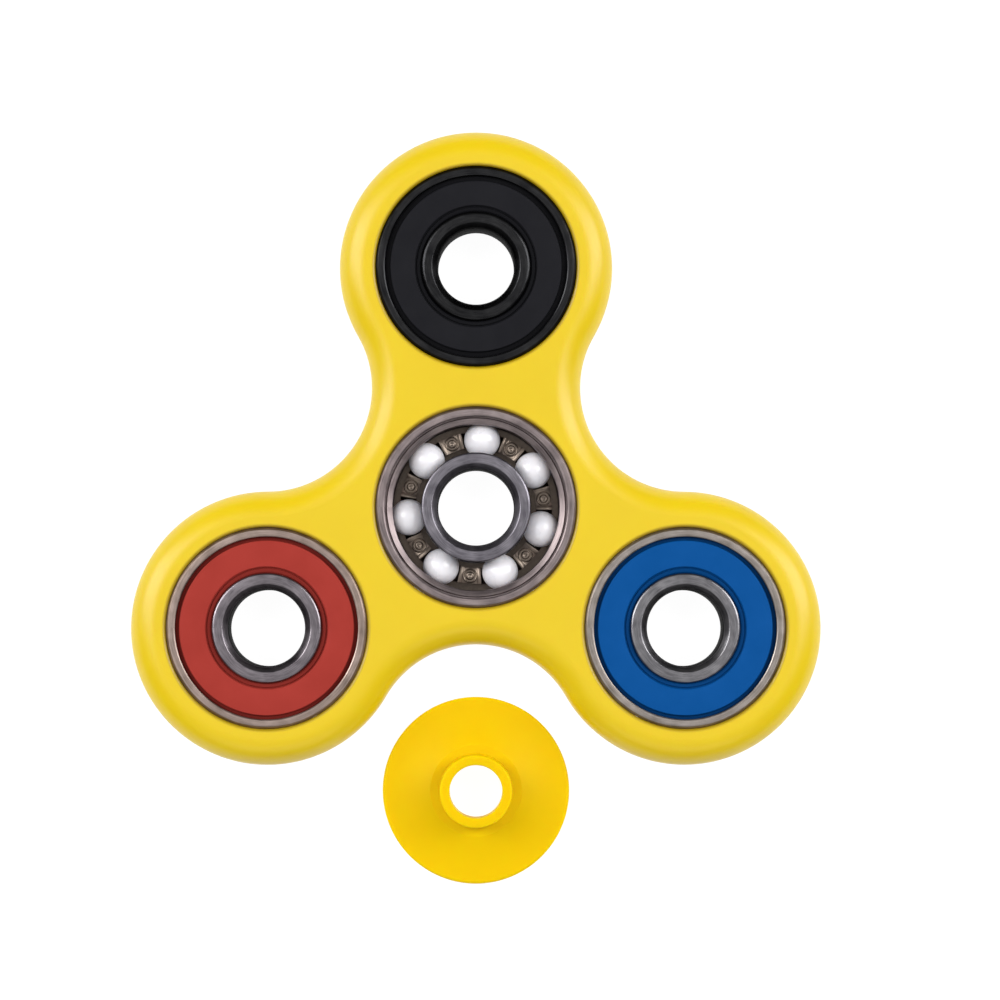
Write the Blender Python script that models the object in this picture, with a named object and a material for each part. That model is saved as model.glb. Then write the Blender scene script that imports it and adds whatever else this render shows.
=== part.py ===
"""Three-lobed fidget spinner: four ball bearings in a moulded body, and a loose finger cap.

Metres, +Z up. The origin is on the spin axis, in the plane that the spinner lies on.
"""
import math

import bmesh
import bpy

MM = 0.001
MERGE_DISTANCE = 0.001 * MM
SMOOTH_ANGLE = 30               # degrees; sharper edges stay sharp in the shading
BODY_SMOOTH_ANGLE = 40

# Body: three lobes around the spin axis, joined by hollows that run into them tangentially.
ARM = 26.4 * MM                 # spin axis to the axis of each outer bearing
LOBE_RADIUS = 15.0 * MM
THICKNESS = 7.0 * MM            # the bearings lie flush with both faces
EDGE_RADIUS = 3.0 * MM
SEAT_CHAMFER = 0.25 * MM
SEAT_CLEARANCE = 0.05 * MM
CUT_OVERSHOOT = 1 * MM          # how far the seats' cutter stands out of the body

# Ball bearing: 8 mm bore, 22 mm outside, 7 mm wide, seven 5/32 inch balls.
BORE_RADIUS = 4.0 * MM
OUTSIDE_RADIUS = 11.0 * MM
WIDTH = 7.0 * MM
BALL_RADIUS = 3.969 / 2 * MM
BALL_COUNT = 7
PITCH_RADIUS = 7.5 * MM         # axis to the ball centres
RACE_RADIUS = 2.1 * MM          # cross-section of both ball tracks
INNER_LAND_RADIUS = 6.0 * MM
OUTER_LAND_RADIUS = 9.0 * MM
BORE_CHAMFER = 0.7 * MM
OUTSIDE_CHAMFER = 0.3 * MM
SEAL_STEP_RADIUS = 9.95 * MM    # wall of the step that a seal sits in
SEAL_STEP_DEPTH = 1.0 * MM

# Seal: a flat ring with a thin lip next to the inner ring.
SEAL_INNER_RADIUS = 6.12 * MM
SEAL_OUTER_RADIUS = 9.85 * MM
SEAL_THICKNESS = 0.75 * MM
SEAL_GAP = 0.05 * MM            # between the seal and the step it sits on
LIP_RADIUS = 6.6 * MM           # the lip runs inwards from here
LIP_DROP = 0.25 * MM            # how far the lip lies below the seal's face
SEAL_BEVEL = 0.3 * MM

# Shield: a thin pressed disc with a raised rim, which closes the open bearing at the rear.
SHIELD_INNER_RADIUS = 6.25 * MM
SHIELD_RIM_RADIUS = 9.2 * MM    # the raised rim runs outwards from here
SHIELD_THICKNESS = 0.3 * MM
SHIELD_RIM_RISE = 0.3 * MM

# Cage: a pressed strip that lies flat between the balls and runs round behind each of them.
STRIP_WIDTH = 1.8 * MM
STRIP_THICKNESS = 0.25 * MM
STRIP_BEND_RADIUS = 2.25 * MM   # ball centre to the middle of the strip
PAD_HEIGHT = 0.1 * MM           # middle of the flat pads above the balls' centre plane

# Rivet in each pad of the open bearing's cage.
RIVET_HEAD_RADIUS = 0.5 * MM
RIVET_SHANK_RADIUS = 0.28 * MM
RIVET_HEAD_HEIGHT = 0.22 * MM
RIVET_GAP = 0.04 * MM
RIVET_HOLE_RADIUS = 0.36 * MM

# Finger cap: a dished disc with a hollow boss that plugs into the centre bearing's bore.
CAP_RADIUS = 10.3 * MM
CAP_HOLE_RADIUS = 2.9 * MM
CAP_FOOT_INNER = 8.8 * MM       # the flat ring that it lies on
CAP_FOOT_OUTER = 9.9 * MM
CAP_DISH = 0.7 * MM             # rise of the finger side towards the hole
CAP_RIM_HEIGHT = 1.25 * MM
CAP_CONE_RADIUS = 6.2 * MM      # the flange's slope ends here
CAP_CONE_HEIGHT = 1.85 * MM
CAP_SHOULDER_RADIUS = 5.05 * MM
CAP_SHOULDER_HEIGHT = 2.35 * MM
CAP_BOSS_RADIUS = 3.88 * MM
CAP_TIP_CHAMFER = 0.3 * MM
CAP_HEIGHT = 5.5 * MM
CAP_Y = -(ARM + LOBE_RADIUS - CAP_RADIUS)   # lies as far out as the top lobe reaches

SEGMENTS = 32                   # round a turned piece
LOBE_STEPS = 24                 # 10 degrees each, so that a corner lies at each lobe's widest point
HOLLOW_STEPS = 8
EDGE_STEPS = 3
RIVET_SEGMENTS = 8
BALL_SEGMENTS = 12              # round a ball that shows
BALL_RINGS = 8
HIDDEN_BALL_SUBDIVISIONS = 2
OPEN_BEND_STEPS = 8             # round each bend of the cage that shows
CLOSED_BEND_STEPS = 5           # and of the cages behind seals

LOBE_ANGLES = (90, 210, 330)
LOBE_SPAN = 240                 # degrees of each lobe's arc
HOLLOW_SPAN = 120

# Bearings: name, angle of the arm (None in the middle), angle of the first ball.
BEARINGS = (
    ("centre", None, 84.9),
    ("black", 90, 90),
    ("red", 210, 210),
    ("blue", 330, 330),
)

YELLOW = (0.86, 0.60, 0.03)
STEEL = (0.36, 0.33, 0.31)
BLACK_STEEL = (0.035, 0.035, 0.038)
CAGE_STEEL = (0.20, 0.16, 0.13)
ZIRCONIA = (0.80, 0.79, 0.80)
SEAL_COLOURS = {
    "black": (0.018, 0.018, 0.020),
    "red": (0.42, 0.045, 0.035),
    "blue": (0.004, 0.088, 0.33),
}


def remove_everything():
    for obj in list(bpy.data.objects):
        bpy.data.objects.remove(obj, do_unlink=True)


def make_material(name, colour, roughness, metallic=0.0):
    material = bpy.data.materials.new(name)
    material.use_nodes = True
    shader = material.node_tree.nodes["Principled BSDF"]
    shader.inputs["Base Color"].default_value = (*colour, 1.0)
    shader.inputs["Roughness"].default_value = roughness
    shader.inputs["Metallic"].default_value = metallic
    return material


def add_object(name, mesh, material=None, parent=None, location=(0, 0, 0), rotation=(0, 0, 0)):
    obj = bpy.data.objects.new(name, mesh)
    bpy.context.scene.collection.objects.link(obj)
    obj.parent = parent
    obj.location = location
    obj.rotation_euler = rotation
    if material is not None and mesh is not None and not mesh.materials:
        mesh.materials.append(material)
    return obj


def finish_mesh(bm, name, smooth_degrees=SMOOTH_ANGLE):
    """Turn a bmesh into a smooth-shaded mesh whose faces point outwards."""
    bmesh.ops.recalc_face_normals(bm, faces=bm.faces)
    mesh = bpy.data.meshes.new(name)
    bm.to_mesh(mesh)
    bm.free()
    mesh.shade_smooth()
    mesh.set_sharp_from_angle(angle=math.radians(smooth_degrees))
    return mesh


def polar(radius, degrees):
    angle = math.radians(degrees)
    return radius * math.cos(angle), radius * math.sin(angle)


def turn_profile(bm, profile, closed=True, segments=SEGMENTS):
    """Turn (radius, height) points about Z; an open profile starts and ends on the axis."""
    verts = [bm.verts.new((radius, 0, height)) for radius, height in profile]
    edges = [bm.edges.new(pair) for pair in zip(verts, verts[1:])]
    if closed:
        edges.append(bm.edges.new((verts[-1], verts[0])))
    bmesh.ops.spin(bm, geom=verts + edges, axis=(0, 0, 1), cent=(0, 0, 0),
                   angle=math.tau, steps=segments, use_merge=True)
    bmesh.ops.remove_doubles(bm, verts=bm.verts, dist=MERGE_DISTANCE)


def turned_mesh(name, profile, closed=True, segments=SEGMENTS):
    bm = bmesh.new()
    turn_profile(bm, profile, closed, segments)
    return finish_mesh(bm, name)


def race_half(land_radius, side, steps=2):
    """Upper half of a ball track, from its edge on the land down to just above its middle."""
    edge = math.acos(abs(land_radius - PITCH_RADIUS) / RACE_RADIUS)
    angles = [edge * (steps - step) / steps for step in range(steps)]
    return [(PITCH_RADIUS + side * RACE_RADIUS * math.cos(angle), RACE_RADIUS * math.sin(angle))
            for angle in angles]


def outer_ring_profile():
    top = WIDTH / 2
    step = top - SEAL_STEP_DEPTH
    inside = [(OUTSIDE_RADIUS - OUTSIDE_CHAMFER, top), (SEAL_STEP_RADIUS, top),
              (SEAL_STEP_RADIUS, step), (OUTER_LAND_RADIUS, step)]
    inside += race_half(OUTER_LAND_RADIUS, 1)
    middle = [(PITCH_RADIUS + RACE_RADIUS, 0)]
    outside = [(OUTSIDE_RADIUS, -top + OUTSIDE_CHAMFER), (OUTSIDE_RADIUS, top - OUTSIDE_CHAMFER)]
    below = [(radius, -height) for radius, height in reversed(inside)]
    return inside + middle + below + outside


def inner_ring_profile():
    top = WIDTH / 2
    outside = [(BORE_RADIUS + BORE_CHAMFER, top), (INNER_LAND_RADIUS, top)]
    outside += race_half(INNER_LAND_RADIUS, -1)
    middle = [(PITCH_RADIUS - RACE_RADIUS, 0)]
    bore = [(BORE_RADIUS, -top + BORE_CHAMFER), (BORE_RADIUS, top - BORE_CHAMFER)]
    below = [(radius, -height) for radius, height in reversed(outside)]
    return outside + middle + below + bore


def seal_profile():
    bottom = WIDTH / 2 - SEAL_STEP_DEPTH + SEAL_GAP
    top = bottom + SEAL_THICKNESS
    return [
        (SEAL_INNER_RADIUS, bottom), (SEAL_INNER_RADIUS, top - LIP_DROP),
        (LIP_RADIUS, top - LIP_DROP), (LIP_RADIUS + LIP_DROP, top),
        (SEAL_OUTER_RADIUS - SEAL_BEVEL, top), (SEAL_OUTER_RADIUS, top - SEAL_BEVEL),
        (SEAL_OUTER_RADIUS, bottom),
    ]


def shield_profile():
    bottom = WIDTH / 2 - SEAL_STEP_DEPTH + SEAL_GAP
    top = bottom + SHIELD_THICKNESS
    rim = top + SHIELD_RIM_RISE
    return [
        (SHIELD_INNER_RADIUS, bottom), (SHIELD_INNER_RADIUS, top), (SHIELD_RIM_RADIUS, top),
        (SHIELD_RIM_RADIUS + SHIELD_RIM_RISE, rim), (SEAL_OUTER_RADIUS, rim),
        (SEAL_OUTER_RADIUS, bottom),
    ]


def cap_profile():
    rim_bevel = CAP_RADIUS - CAP_FOOT_OUTER
    return [
        (CAP_HOLE_RADIUS, CAP_DISH), (CAP_FOOT_INNER, 0), (CAP_FOOT_OUTER, 0),
        (CAP_RADIUS, rim_bevel), (CAP_RADIUS, CAP_RIM_HEIGHT - rim_bevel / 2),
        (CAP_RADIUS - rim_bevel / 2, CAP_RIM_HEIGHT), (CAP_CONE_RADIUS, CAP_CONE_HEIGHT),
        (CAP_SHOULDER_RADIUS, CAP_SHOULDER_HEIGHT), (CAP_BOSS_RADIUS, CAP_SHOULDER_HEIGHT),
        (CAP_BOSS_RADIUS, CAP_HEIGHT - CAP_TIP_CHAMFER),
        (CAP_BOSS_RADIUS - CAP_TIP_CHAMFER, CAP_HEIGHT), (CAP_HOLE_RADIUS, CAP_HEIGHT),
    ]


def rivet_profile():
    """A rivet with a head on each side of the pad, from its top down to its bottom."""
    front = PAD_HEIGHT + STRIP_THICKNESS / 2 + RIVET_GAP
    back = PAD_HEIGHT - STRIP_THICKNESS / 2 - RIVET_GAP
    rim = RIVET_HEAD_HEIGHT / 3
    return [
        (0, front + RIVET_HEAD_HEIGHT), (RIVET_HEAD_RADIUS, front + rim),
        (RIVET_HEAD_RADIUS, front), (RIVET_SHANK_RADIUS, front), (RIVET_SHANK_RADIUS, back),
        (RIVET_HEAD_RADIUS, back), (RIVET_HEAD_RADIUS, back - rim), (0, back - RIVET_HEAD_HEIGHT),
    ]


def body_outline(inset):
    """The body's outline, moved in by a distance: lobe arcs and hollow arcs in turn."""
    points = []
    hollow_radius = ARM - LOBE_RADIUS + inset
    for lobe_angle in LOBE_ANGLES:
        x, y = polar(ARM, lobe_angle)
        for step in range(LOBE_STEPS):
            turned = LOBE_SPAN * (step / LOBE_STEPS - 0.5)
            dx, dy = polar(LOBE_RADIUS - inset, lobe_angle + turned)
            points.append((x + dx, y + dy))
        x, y = polar(ARM, lobe_angle + HOLLOW_SPAN / 2)
        for step in range(HOLLOW_STEPS):
            turned = -HOLLOW_SPAN * (step / HOLLOW_STEPS + 0.5)
            dx, dy = polar(hollow_radius, lobe_angle + turned)
            points.append((x + dx, y + dy))
    return points


def body_mesh():
    """The moulding without its seats: stacked outlines with rounded edges, closed by flat faces."""
    bm = bmesh.new()
    rows = []
    for step in range(EDGE_STEPS + 1):
        angle = math.pi / 2 * step / EDGE_STEPS
        inset = EDGE_RADIUS * (1 - math.sin(angle))
        height = EDGE_RADIUS * (1 - math.cos(angle))
        rows.append((inset, height))
    rows += [(inset, THICKNESS - height) for inset, height in reversed(rows)]
    loops = [[bm.verts.new((x, y, height)) for x, y in body_outline(inset)]
             for inset, height in rows]
    for lower, upper in zip(loops, loops[1:]):
        count = len(lower)
        for i in range(count):
            j = (i + 1) % count
            bm.faces.new((lower[i], lower[j], upper[j], upper[i]))
    bm.faces.new(reversed(loops[0]))
    bm.faces.new(loops[-1])
    return finish_mesh(bm, "spinner_body", BODY_SMOOTH_ANGLE)


def bearing_places():
    return [(0.0, 0.0) if arm is None else polar(ARM, arm) for _, arm, _ in BEARINGS]


def seat_cutter_mesh():
    """Four chamfered plugs, one for each bearing seat, longer than the body is thick."""
    radius = OUTSIDE_RADIUS + SEAT_CLEARANCE
    end_radius = radius + SEAT_CHAMFER + CUT_OVERSHOOT
    profile = [(0, THICKNESS + CUT_OVERSHOOT), (end_radius, THICKNESS + CUT_OVERSHOOT),
               (radius, THICKNESS - SEAT_CHAMFER), (radius, SEAT_CHAMFER),
               (end_radius, -CUT_OVERSHOOT), (0, -CUT_OVERSHOOT)]
    bm = bmesh.new()
    for x, y in bearing_places():
        plug = bmesh.new()
        turn_profile(plug, profile, closed=False)
        bmesh.ops.translate(plug, verts=plug.verts, vec=(x, y, 0))
        piece = bpy.data.meshes.new("seat_plug")
        plug.to_mesh(piece)
        plug.free()
        bm.from_mesh(piece)
        bpy.data.meshes.remove(piece)
    return finish_mesh(bm, "seat_cutter")


def cut(obj, cutter_mesh, parent=None):
    """Subtract a mesh from an object with a Boolean modifier and a hidden cutter object."""
    cutter = add_object(cutter_mesh.name, cutter_mesh, parent=parent)
    cutter.hide_render = True
    cutter.display_type = "WIRE"
    modifier = obj.modifiers.new("cut", "BOOLEAN")
    modifier.operation = "DIFFERENCE"
    modifier.solver = "EXACT"
    modifier.object = cutter


def cage_path(bend_steps):
    """Middle line of one pitch of the strip as (distance round, height) from a pad's centre."""
    half_pitch = math.pi * PITCH_RADIUS / BALL_COUNT
    pad_end = half_pitch - STRIP_BEND_RADIUS
    path = [(-pad_end, PAD_HEIGHT), (pad_end, PAD_HEIGHT)]
    for step in range(1, bend_steps):
        angle = math.pi * step / bend_steps
        path.append((half_pitch - STRIP_BEND_RADIUS * math.cos(angle),
                     -STRIP_BEND_RADIUS * math.sin(angle)))
    return path


def cage_mesh(name, first_ball, bend_steps):
    """A closed rectangular strip swept once round the bearing, pad, bend, pad, bend."""
    pitch = math.tau * PITCH_RADIUS / BALL_COUNT
    path = [(distance + pitch * ball, height)
            for ball in range(BALL_COUNT) for distance, height in cage_path(bend_steps)]
    first_pad = math.radians(first_ball) - math.pi / BALL_COUNT
    bm = bmesh.new()
    sections = []
    for i, (distance, height) in enumerate(path):
        before, after = path[i - 1], path[(i + 1) % len(path)]
        along = ((after[0] - before[0]) % (pitch * BALL_COUNT), after[1] - before[1])
        length = math.hypot(*along)
        normal = (-along[1] / length, along[0] / length)
        corner = []
        for radial, lift in ((-1, 1), (1, 1), (1, -1), (-1, -1)):
            radius = PITCH_RADIUS + radial * STRIP_WIDTH / 2
            offset = lift * STRIP_THICKNESS / 2
            angle = first_pad + (distance + normal[0] * offset) / PITCH_RADIUS
            corner.append(bm.verts.new((radius * math.cos(angle), radius * math.sin(angle),
                                        height + normal[1] * offset)))
        sections.append(corner)
    for i, section in enumerate(sections):
        following = sections[(i + 1) % len(sections)]
        for k in range(4):
            m = (k + 1) % 4
            bm.faces.new((section[k], section[m], following[m], following[k]))
    return finish_mesh(bm, name)


def rivet_angles(first_ball):
    return [first_ball - (k + 0.5) * 360 / BALL_COUNT for k in range(BALL_COUNT)]


def rivet_hole_cutter_mesh(first_ball):
    bm = bmesh.new()
    for angle in rivet_angles(first_ball):
        made = bmesh.ops.create_cone(bm, cap_ends=True, segments=RIVET_SEGMENTS,
                                     radius1=RIVET_HOLE_RADIUS, radius2=RIVET_HOLE_RADIUS,
                                     depth=4 * STRIP_THICKNESS)
        bmesh.ops.translate(bm, verts=made["verts"], vec=(*polar(PITCH_RADIUS, angle), PAD_HEIGHT))
    return finish_mesh(bm, "rivet_hole_cutter")


def visible_ball_mesh():
    bm = bmesh.new()
    bmesh.ops.create_uvsphere(bm, u_segments=BALL_SEGMENTS, v_segments=BALL_RINGS, radius=BALL_RADIUS)
    return finish_mesh(bm, "zirconia_ball")


def hidden_ball_mesh():
    bm = bmesh.new()
    bmesh.ops.create_icosphere(bm, subdivisions=HIDDEN_BALL_SUBDIVISIONS, radius=BALL_RADIUS)
    return finish_mesh(bm, "steel_ball")


def make_body():
    yellow = make_material("yellow_abs", YELLOW, 0.35)
    body = add_object("spinner_body", body_mesh(), yellow)
    cut(body, seat_cutter_mesh())


def make_cap():
    yellow = make_material("cap_yellow_abs", YELLOW, 0.35)
    add_object("finger_cap", turned_mesh("finger_cap", cap_profile()), yellow,
               location=(0, CAP_Y, 0))


def make_rings(name, frame, material):
    outer = turned_mesh(name + "_outer_ring", outer_ring_profile())
    inner = turned_mesh(name + "_inner_ring", inner_ring_profile())
    add_object(name + "_outer_ring", outer, material, frame)
    add_object(name + "_inner_ring", inner, material, frame)


def make_balls(name, cage, mesh, material, first_ball):
    for k in range(BALL_COUNT):
        x, y = polar(PITCH_RADIUS, first_ball - k * 360 / BALL_COUNT)
        add_object(f"{name}_ball_{k + 1}", mesh, material, cage, (x, y, 0))


def make_open_cage(name, frame, first_ball):
    """The open bearing's cage, with a riveted pad between each two balls."""
    steel = make_material("pressed_cage_steel", CAGE_STEEL, 0.4, 1.0)
    cage = add_object(name + "_cage", cage_mesh(name + "_cage", first_ball, OPEN_BEND_STEPS), steel,
                      frame)
    cut(cage, rivet_hole_cutter_mesh(first_ball), frame)
    rivet = turned_mesh("rivet", rivet_profile(), closed=False, segments=RIVET_SEGMENTS)
    for k, angle in enumerate(rivet_angles(first_ball)):
        add_object(f"{name}_rivet_{k + 1}", rivet, steel, cage, (*polar(PITCH_RADIUS, angle), 0))
    return cage


def make_closed_cage(name, frame, first_ball):
    steel = make_material(name + "_cage_steel", CAGE_STEEL, 0.4, 1.0)
    mesh = cage_mesh(name + "_cage", first_ball, CLOSED_BEND_STEPS)
    return add_object(name + "_cage", mesh, steel, frame)


def make_seals(name, frame):
    rubber = make_material(name + "_seal_rubber", SEAL_COLOURS[name], 0.5)
    mesh = turned_mesh(name + "_seal", seal_profile())
    add_object(name + "_seal_front", mesh, rubber, frame)
    add_object(name + "_seal_rear", mesh, rubber, frame, rotation=(math.pi, 0, 0))


def make_rear_shield(name, frame):
    steel = make_material("pressed_shield_steel", CAGE_STEEL, 0.4, 1.0)
    mesh = turned_mesh(name + "_rear_shield", shield_profile())
    add_object(name + "_rear_shield", mesh, steel, frame, rotation=(math.pi, 0, 0))


def make_bearing(name, place, first_ball):
    """One bearing about its own centre, on an empty that stands on its axis."""
    frame = add_object(name + "_bearing", None, location=(*place, THICKNESS / 2))
    if name == "black":
        ring_steel = make_material("black_oxide_steel", BLACK_STEEL, 0.3, 1.0)
    else:
        ring_steel = make_material(name + "_bearing_steel", STEEL, 0.3, 1.0)
    make_rings(name, frame, ring_steel)
    if name == "centre":
        cage = make_open_cage(name, frame, first_ball)
        zirconia = make_material("white_zirconia", ZIRCONIA, 0.2)
        make_balls(name, cage, visible_ball_mesh(), zirconia, first_ball)
        make_rear_shield(name, frame)
    else:
        cage = make_closed_cage(name, frame, first_ball)
        steel = make_material(name + "_ball_steel", STEEL, 0.15, 1.0)
        make_balls(name, cage, hidden_ball_mesh(), steel, first_ball)
        make_seals(name, frame)


def main():
    remove_everything()
    make_body()
    make_cap()
    for (name, _, first_ball), place in zip(BEARINGS, bearing_places()):
        make_bearing(name, place, first_ball)


main()
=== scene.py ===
"""Looks of a three-lobed fidget spinner: a moulded body, four ball bearings and a loose finger cap."""

import math

import bmesh
import bpy
from bpy.props import FloatProperty, FloatVectorProperty, IntProperty, PointerProperty
from bpy.types import Operator, Panel, PropertyGroup
from mathutils import Matrix, Vector


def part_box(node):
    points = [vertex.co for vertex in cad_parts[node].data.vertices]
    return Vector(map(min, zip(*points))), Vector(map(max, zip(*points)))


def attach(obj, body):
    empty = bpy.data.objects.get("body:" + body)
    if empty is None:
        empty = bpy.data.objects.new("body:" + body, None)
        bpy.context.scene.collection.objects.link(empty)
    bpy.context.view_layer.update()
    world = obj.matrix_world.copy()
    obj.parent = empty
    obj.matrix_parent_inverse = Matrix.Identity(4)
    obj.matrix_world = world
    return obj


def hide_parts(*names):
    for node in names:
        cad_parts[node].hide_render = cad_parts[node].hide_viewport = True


bl_info = {
    "name": "Fidget spinner",
    "version": (1, 0, 0),
    "blender": (4, 5, 0),
    "location": "View3D > Sidebar > Spinner",
    "description": "Builds the finished surfaces of a fidget spinner around its packed solids",
    "category": "Mesh",
}

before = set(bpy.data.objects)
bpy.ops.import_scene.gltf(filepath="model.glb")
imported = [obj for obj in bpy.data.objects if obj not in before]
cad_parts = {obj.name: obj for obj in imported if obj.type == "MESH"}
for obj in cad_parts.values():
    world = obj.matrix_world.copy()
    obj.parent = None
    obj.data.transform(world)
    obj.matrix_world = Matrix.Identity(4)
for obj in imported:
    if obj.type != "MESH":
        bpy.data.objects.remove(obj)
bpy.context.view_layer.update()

MM = 0.001
CLOSED_BEARINGS = ("black", "red", "blue")
BEARINGS = ("centre",) + CLOSED_BEARINGS
BALL_COUNT = 7                  # balls of one bearing
LOBE_ANGLES = (90, 210, 330)
MERGE_DISTANCE = 0.001 * MM     # points closer than this are one point
NEAR = 0.01 * MM                # how far off a circle a point may lie and still be on it
FULL_TURN = 360
CAMERA_PLACE = (0.0, -13.5 * MM, 450 * MM)
CAMERA_AIM = (2.66 * MM, 1.0 * MM, 0)
CAMERA_LENS, CAMERA_SENSOR = 146.1, 36      # both in millimetres


def linear(hex_colour):
    """Linear red, green and blue of an sRGB hex colour."""
    channels = [int(hex_colour[i:i + 2], 16) / 255 for i in (1, 3, 5)]
    return tuple(c / 12.92 if c <= 0.04045 else ((c + 0.055) / 1.055) ** 2.4 for c in channels)


def node_centre(node):
    """Middle of a solid's box."""
    low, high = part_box(node)
    return tuple((a + b) / 2 for a, b in zip(low, high))


def node_radius(node):
    """Half of a solid's width."""
    low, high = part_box(node)
    return (high[0] - low[0]) / 2


BODY_LOW, BODY_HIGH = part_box("spinner_body")
THICKNESS = BODY_HIGH[2] - BODY_LOW[2]
MID_HEIGHT = (BODY_HIGH[2] + BODY_LOW[2]) / 2
PLACES = {name: node_centre(name + "_outer_ring")[:2] for name in BEARINGS}
ARM = PLACES["black"][1]
LOBE_RADIUS = BODY_HIGH[1] - ARM
RING_RADIUS = node_radius("centre_outer_ring")
CAP_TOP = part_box("finger_cap")[1][2]
CAP_PLACE = node_centre("finger_cap")[:2]
CAP_RADIUS = node_radius("finger_cap")


class SpinnerBodySizes(PropertyGroup):
    edge_radius: FloatProperty(
        name="Edge radius", description="Rounding of the moulding's outer edges",
        default=3.0 * MM, unit="LENGTH")
    edge_steps: IntProperty(
        name="Edge steps", description="Faces across each rounded edge", default=14)
    seat_gap: FloatProperty(
        name="Seat gap", description="Clearance round each bearing", default=0.01 * MM, unit="LENGTH")
    seat_edge: FloatProperty(
        name="Seat edge", description="Rounding of each seat's mouth", default=0.35 * MM, unit="LENGTH")


class SpinnerBearingSizes(PropertyGroup):
    bore_radius: FloatProperty(
        name="Bore radius", description="Radius of the bore", default=4.18 * MM, unit="LENGTH")
    inner_land: FloatProperty(
        name="Inner land", description="Outside radius of the inner ring", default=6.0 * MM,
        unit="LENGTH")
    outer_land: FloatProperty(
        name="Outer land", description="Smallest radius of the outer ring", default=9.10 * MM,
        unit="LENGTH")
    pitch_radius: FloatProperty(
        name="Pitch radius", description="Axis to the balls' centres", default=7.5 * MM,
        unit="LENGTH")
    race_radius: FloatProperty(
        name="Track radius", description="Cross-section of the ball tracks", default=2.05 * MM,
        unit="LENGTH")
    lip_gap: FloatProperty(
        name="Lip gap", description="Between the inner ring and a seal's lip or the shield",
        default=0.005 * MM, unit="LENGTH")
    steps: IntProperty(
        name="Steps", description="Faces round a turned piece", default=160)


class SpinnerColours(PropertyGroup):
    abs_yellow: FloatVectorProperty(
        name="Yellow", description="Moulded body", subtype="COLOR",
        default=linear("#E1C406"))
    cap_yellow: FloatVectorProperty(
        name="Cap yellow", description="Loose cap, moulded from a deeper batch", subtype="COLOR",
        default=linear("#E8C600"))
    black_seal: FloatVectorProperty(
        name="Black seal", description="Seals of the upper bearing", subtype="COLOR",
        default=linear("#19191D"))
    red_seal: FloatVectorProperty(
        name="Red seal", description="Seals of the left bearing", subtype="COLOR",
        default=linear("#9C342C"))
    blue_seal: FloatVectorProperty(
        name="Blue seal", description="Seals of the right bearing", subtype="COLOR",
        default=linear("#004A8C"))


# Modelling helpers


def clear_selection():
    """Object mode, with nothing selected."""
    if bpy.context.object is not None and bpy.context.object.mode != "OBJECT":
        bpy.ops.object.mode_set(mode="OBJECT")
    bpy.ops.object.select_all(action="DESELECT")


def activate(piece):
    """Select one piece alone and make it the active one."""
    clear_selection()
    piece.select_set(True)
    bpy.context.view_layer.objects.active = piece


def pick(piece, kind, wanted):
    """In edit mode, select only the verts, edges or faces that pass a test."""
    bpy.ops.mesh.select_mode(type=kind)
    bpy.ops.mesh.select_all(action="DESELECT")
    bm = bmesh.from_edit_mesh(piece.data)
    for item in {"VERT": bm.verts, "EDGE": bm.edges, "FACE": bm.faces}[kind]:
        if wanted(item):
            item.select_set(True)
    bmesh.update_edit_mesh(piece.data)


def start_point(name, place):
    """A piece of one vertex, selected in edit mode."""
    clear_selection()
    bpy.ops.mesh.primitive_plane_add(size=MM, location=place)
    piece = bpy.context.object
    piece.name = piece.data.name = name
    bpy.ops.object.transform_apply(location=True, rotation=False, scale=False)
    bpy.ops.object.mode_set(mode="EDIT")
    bpy.ops.mesh.select_mode(type="VERT")
    bpy.ops.mesh.select_all(action="SELECT")
    bpy.ops.mesh.merge(type="CENTER")
    return piece


def sweep(degrees, steps, centre=(0, 0, 0), **options):
    """Spin what is selected anticlockwise seen from above; the operator's own angle is clockwise."""
    bpy.ops.mesh.spin(steps=steps, angle=-math.radians(degrees), center=centre, axis=(0, 0, 1),
                      **options)


def close_mesh():
    """Merge the seam and turn every face outwards."""
    bpy.ops.mesh.select_all(action="SELECT")
    bpy.ops.mesh.remove_doubles(threshold=MERGE_DISTANCE)
    bpy.ops.mesh.normals_make_consistent(inside=False)


def rounded(corners, degrees_per_step=18):
    """Points of a closed section, from corners (radius, height, rounding)."""
    points = []
    count = len(corners)
    for i, (x, y, rounding) in enumerate(corners):
        if rounding == 0:
            points.append((x, y))
            continue
        ahead = corners[(i + 1) % count]
        behind = corners[i - 1]
        to_behind = (behind[0] - x, behind[1] - y)
        to_ahead = (ahead[0] - x, ahead[1] - y)
        length_behind = math.hypot(*to_behind)
        length_ahead = math.hypot(*to_ahead)
        a = (to_behind[0] / length_behind, to_behind[1] / length_behind)
        b = (to_ahead[0] / length_ahead, to_ahead[1] / length_ahead)
        opening = math.acos(max(-1.0, min(1.0, a[0] * b[0] + a[1] * b[1])))
        reach = rounding / math.tan(opening / 2)
        depth = rounding / math.sin(opening / 2)
        middle = (a[0] + b[0], a[1] + b[1])
        size = math.hypot(*middle)
        cx, cy = x + middle[0] / size * depth, y + middle[1] / size * depth
        start = math.atan2(y + a[1] * reach - cy, x + a[0] * reach - cx)
        end = math.atan2(y + b[1] * reach - cy, x + b[0] * reach - cx)
        turned = (end - start + math.pi) % math.tau - math.pi
        steps = max(2, round(abs(math.degrees(turned)) / degrees_per_step))
        for step in range(steps + 1):
            angle = start + turned * step / steps
            points.append((cx + rounding * math.cos(angle), cy + rounding * math.sin(angle)))
    return points


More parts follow.
